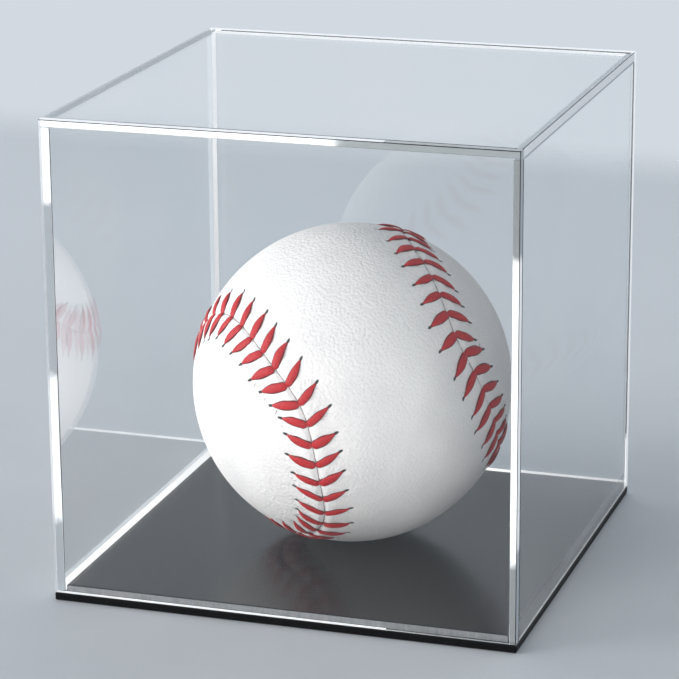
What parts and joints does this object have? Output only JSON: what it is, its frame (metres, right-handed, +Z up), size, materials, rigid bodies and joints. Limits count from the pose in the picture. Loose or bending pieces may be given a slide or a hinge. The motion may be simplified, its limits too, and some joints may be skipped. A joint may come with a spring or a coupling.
{
  "type": "ball display case",
  "caption": "Clear acrylic cube cover on a black plinth base, with a stitched leather ball resting in the middle; the cover and the ball lift off.",
  "frame": {"origin": "on the surface that the case stands on, under the middle of the base plate", "axes": "+Z up, along which the cover and the ball lift off; -Y the front; +X to the right seen from the front"},
  "size_m": [0.107, 0.107, 0.1105],
  "materials": {
    "clear_acrylic": "polished clear cast acrylic sheet, 2 mm, solvent-cemented at the corners",
    "black_acrylic": "polished black cast acrylic sheet",
    "cork": "ground cork in rubber, moulded",
    "black_rubber": "moulded rubber",
    "red_rubber": "moulded rubber",
    "grey_wool": "wound wool yarn",
    "white_wool": "wound wool yarn",
    "cotton": "fine wound cotton yarn",
    "white_leather": "alum-tanned white leather, pebbled",
    "red_thread": "waxed red cotton thread"
  },
  "bodies": {
    "base": {"base_plate": "black_acrylic", "plinth_plate": "black_acrylic"},
    "cover": {"front_panel": "clear_acrylic", "back_panel": "clear_acrylic", "left_panel": "clear_acrylic", "right_panel": "clear_acrylic", "top_panel": "clear_acrylic"},
    "ball": {"ball_cork_core": "cork", "ball_rubber_half_lower": "black_rubber", "ball_rubber_half_upper": "black_rubber", "ball_rubber_washer": "red_rubber", "ball_rubber_shell": "red_rubber", "ball_winding_grey_inner": "grey_wool", "ball_winding_white": "white_wool", "ball_winding_grey_outer": "grey_wool", "ball_winding_cotton": "cotton", "ball_cover_a": "white_leather", "ball_cover_b": "white_leather", "ball_stitches": "red_thread"}
  },
  "joints": [
    {"name": "cover_lift", "type": "slide", "parent": "base", "child": "cover", "axis": [0, 0, 1], "range_m": [0, 0.12]},
    {"name": "ball_lift", "type": "slide", "parent": "base", "child": "ball", "axis": [0, 0, 1], "range_m": [0, 0.028]}
  ]
}
